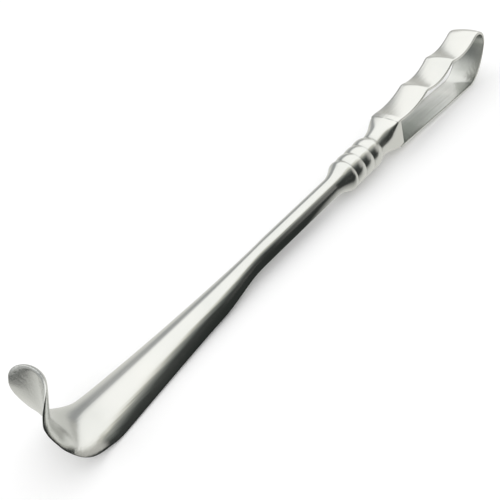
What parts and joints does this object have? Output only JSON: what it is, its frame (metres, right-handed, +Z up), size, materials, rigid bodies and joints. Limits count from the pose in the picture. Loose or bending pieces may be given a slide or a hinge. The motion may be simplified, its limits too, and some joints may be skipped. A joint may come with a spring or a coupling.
{
  "type": "surgical retractor",
  "caption": "Handheld surgical retractor: a saddle-shaped blade at right angles to a round shaft, with beads and a hollow grip scalloped for the fingers.",
  "frame": {"origin": "middle of the bounding box at floor level, with the instrument lying on its back and the blade up", "axes": "+X along the shaft from the blade towards the grip, +Y across the plane of symmetry, +Z up, the way the blade and the finger hollows face"},
  "size_m": [0.249, 0.0278, 0.033],
  "materials": {
    "steel": "satin"
  },
  "bodies": {
    "root": {"retractor": "steel"}
  },
  "joints": []
}
